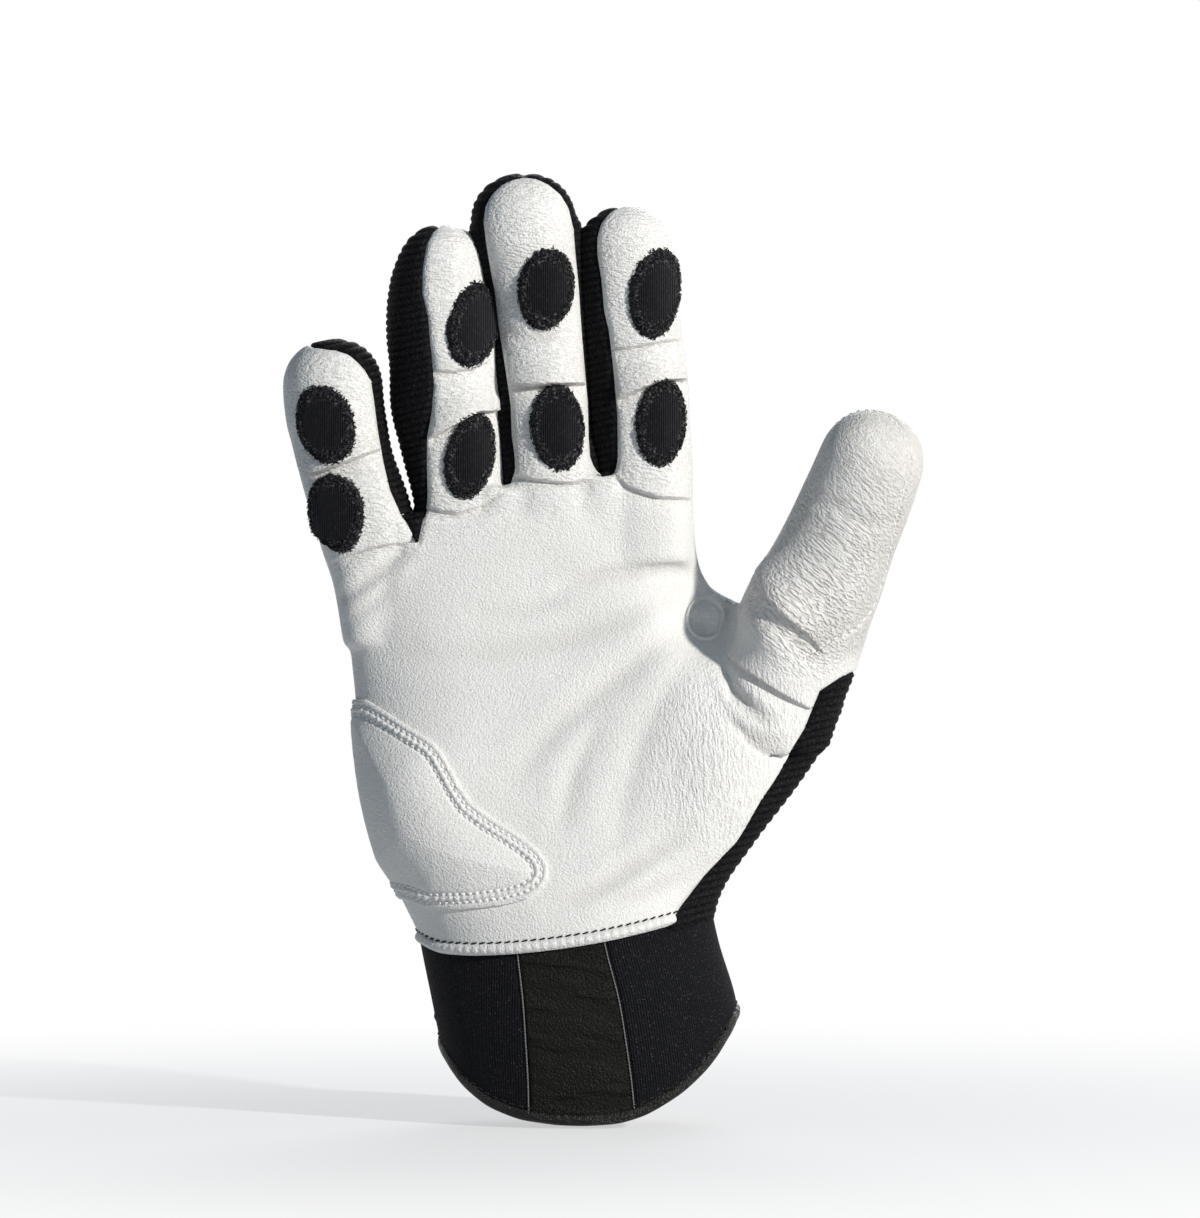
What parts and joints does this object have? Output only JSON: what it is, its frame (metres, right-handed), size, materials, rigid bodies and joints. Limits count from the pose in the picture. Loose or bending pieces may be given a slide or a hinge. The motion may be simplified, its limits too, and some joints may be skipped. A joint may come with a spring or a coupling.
{
  "type": "batting glove",
  "caption": "Right-hand batting glove with a white leather palm, black ribbed-knit back, oval plush grip pads on the fingers, a padded heel patch and a strapped neoprene cuff.",
  "frame": {"origin": "middle of the wrist opening, level with the lowest point of the hem", "axes": "+Z from the wrist towards the fingertips, -Y the way the palm faces, +X towards the thumb"},
  "size_m": [0.1606, 0.0686, 0.24],
  "materials": {
    "white_leather": "soft grained white sheepskin",
    "black_knit": "ribbed stretch knit",
    "black_plush": "short looped plush",
    "black_neoprene": "fabric-faced neoprene with fine ribs",
    "black_leather": "smooth black leather",
    "grey_foam": "soft foam sheet"
  },
  "bodies": {
    "hand": {"palm_leather": "white_leather", "back_knit": "black_knit", "palm_hem": "white_leather", "heel_pad_foam": "grey_foam", "heel_pad_cover": "white_leather", "thumb_gusset": "white_leather", "cuff_outer_panel": "black_neoprene", "cuff_thumb_panel": "black_neoprene", "cuff_leather_strip": "black_leather", "hem_binding": "black_leather", "loop_pad": "black_plush", "strap_tab": "black_neoprene", "index_root_crease": "white_leather", "middle_root_crease": "white_leather", "ring_root_crease": "white_leather", "little_root_crease": "white_leather", "thumb_root_crease": "white_leather"},
    "index_lower": {"index_palm_leather_lower": "white_leather", "index_back_knit_lower": "black_knit", "index_grip_lower": "black_plush", "index_knuckle_crease": "white_leather"},
    "index_upper": {"index_palm_leather_upper": "white_leather", "index_back_knit_upper": "black_knit", "index_grip_upper": "black_plush"},
    "middle_lower": {"middle_palm_leather_lower": "white_leather", "middle_back_knit_lower": "black_knit", "middle_grip_lower": "black_plush", "middle_knuckle_crease": "white_leather"},
    "middle_upper": {"middle_palm_leather_upper": "white_leather", "middle_back_knit_upper": "black_knit", "middle_grip_upper": "black_plush"},
    "ring_lower": {"ring_palm_leather_lower": "white_leather", "ring_back_knit_lower": "black_knit", "ring_grip_lower": "black_plush", "ring_knuckle_crease": "white_leather"},
    "ring_upper": {"ring_palm_leather_upper": "white_leather", "ring_back_knit_upper": "black_knit", "ring_grip_upper": "black_plush"},
    "little_lower": {"little_palm_leather_lower": "white_leather", "little_back_knit_lower": "black_knit", "little_grip_lower": "black_plush", "little_knuckle_crease": "white_leather"},
    "little_upper": {"little_palm_leather_upper": "white_leather", "little_back_knit_upper": "black_knit", "little_grip_upper": "black_plush"},
    "thumb_lower": {"thumb_front_leather_lower": "white_leather", "thumb_back_leather_lower": "white_leather", "thumb_knuckle_crease": "white_leather"},
    "thumb_upper": {"thumb_front_leather_upper": "white_leather", "thumb_back_leather_upper": "white_leather"},
    "strap": {"closure_strap": "black_neoprene", "hook_pad": "black_plush"}
  },
  "joints": [
    {"name": "index_root_fold", "type": "hinge", "parent": "hand", "child": "index_lower", "pos_m": [0.0154, -0.007, 0.1603], "axis": [1, 0, 0], "range_deg": [0, 70], "deforming": ["index_root_crease"]},
    {"name": "index_knuckle_fold", "type": "hinge", "parent": "index_lower", "child": "index_upper", "pos_m": [0.0126, -0.00775, 0.1923], "axis": [1, 0, 0], "range_deg": [0, 70], "deforming": ["index_knuckle_crease"]},
    {"name": "middle_root_fold", "type": "hinge", "parent": "hand", "child": "middle_lower", "pos_m": [-0.0086, -0.007, 0.1603], "axis": [1, 0, 0], "range_deg": [0, 70], "deforming": ["middle_root_crease"]},
    {"name": "middle_knuckle_fold", "type": "hinge", "parent": "middle_lower", "child": "middle_upper", "pos_m": [-0.012, -0.00775, 0.1931], "axis": [1, 0, 0], "range_deg": [0, 70], "deforming": ["middle_knuckle_crease"]},
    {"name": "ring_root_fold", "type": "hinge", "parent": "hand", "child": "ring_lower", "pos_m": [-0.0315, -0.007, 0.1548], "axis": [1, 0, 0], "range_deg": [0, 70], "deforming": ["ring_root_crease"]},
    {"name": "ring_knuckle_fold", "type": "hinge", "parent": "ring_lower", "child": "ring_upper", "pos_m": [-0.0371, -0.00775, 0.1843], "axis": [1, 0, 0], "range_deg": [0, 70], "deforming": ["ring_knuckle_crease"]},
    {"name": "little_root_fold", "type": "hinge", "parent": "hand", "child": "little_lower", "pos_m": [-0.0528, -0.007, 0.1413], "axis": [1, 0, 0], "range_deg": [0, 70], "deforming": ["little_root_crease"]},
    {"name": "little_knuckle_fold", "type": "hinge", "parent": "little_lower", "child": "little_upper", "pos_m": [-0.0606, -0.00775, 0.1644], "axis": [1, 0, 0], "range_deg": [0, 70], "deforming": ["little_knuckle_crease"]},
    {"name": "thumb_root_fold", "type": "hinge", "parent": "hand", "child": "thumb_lower", "pos_m": [0.05319, -0.01812, 0.12267], "axis": [0.9272, 0, -0.3746], "range_deg": [0, 30], "deforming": ["thumb_root_crease"]},
    {"name": "thumb_knuckle_fold", "type": "hinge", "parent": "thumb_lower", "child": "thumb_upper", "pos_m": [0.06234, -0.02701, 0.14533], "axis": [0.9272, 0, -0.3746], "range_deg": [0, 55], "deforming": ["thumb_knuckle_crease"]},
    {"name": "strap_swing", "type": "hinge", "parent": "hand", "child": "strap", "pos_m": [-0.028, 0.02226, 0.023], "axis": [0, 0, 1], "range_deg": [0, 130]}
  ]
}
